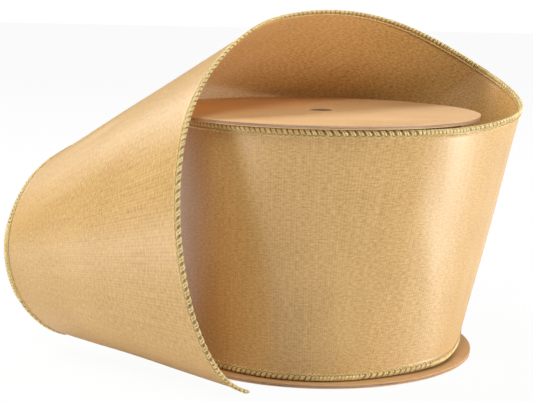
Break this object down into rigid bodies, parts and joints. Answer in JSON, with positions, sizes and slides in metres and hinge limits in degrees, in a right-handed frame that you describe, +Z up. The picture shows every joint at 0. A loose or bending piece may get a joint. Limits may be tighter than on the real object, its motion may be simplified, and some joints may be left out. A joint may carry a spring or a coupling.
{
  "type": "ribbon spool",
  "caption": "Wide gold satin gift ribbon with wired, overlocked edges wound on a two-flange paperboard spool, its last turn sprung loose around the spool.",
  "frame": {"origin": "on the spool's axis, at the underside of the bottom flange, where the spool stands on the table", "axes": "+Z up along the spool's axis; -Y is the front, where the loose turn's flap and cut end lie; +X is to the right of it"},
  "size_m": [0.2264, 0.1756, 0.1489],
  "materials": {
    "kraft_liner": "smooth kraft paper face",
    "grey_board": "raw cut chipboard",
    "core_board": "spiral-wound paperboard",
    "glue": "dried glue",
    "tape": "clear tape",
    "satin": "gold polyester satin",
    "steel_wire": "thin soft wire",
    "edge_thread": "gold overlock thread"
  },
  "bodies": {
    "spool": {"bottom_flange_outer_liner": "kraft_liner", "bottom_flange_board": "grey_board", "bottom_flange_inner_liner": "kraft_liner", "top_flange_inner_liner": "kraft_liner", "top_flange_board": "grey_board", "top_flange_outer_liner": "kraft_liner", "core_tube": "core_board", "bottom_glue_ring": "glue", "top_glue_ring": "glue", "start_tape": "tape", "wound_ribbon": "satin", "wound_upper_wire": "steel_wire", "wound_lower_wire": "steel_wire", "wound_upper_stitching": "edge_thread", "wound_lower_stitching": "edge_thread"},
    "loose_turn": {"loose_ribbon": "satin", "loose_upper_wire": "steel_wire", "loose_lower_wire": "steel_wire", "loose_upper_stitching": "edge_thread", "loose_lower_stitching": "edge_thread"}
  },
  "joints": [
    {"name": "unwind", "type": "hinge", "parent": "spool", "child": "loose_turn", "pos_m": [0, 0, 0], "axis": [0, 0, 1], "continuous": true}
  ]
}
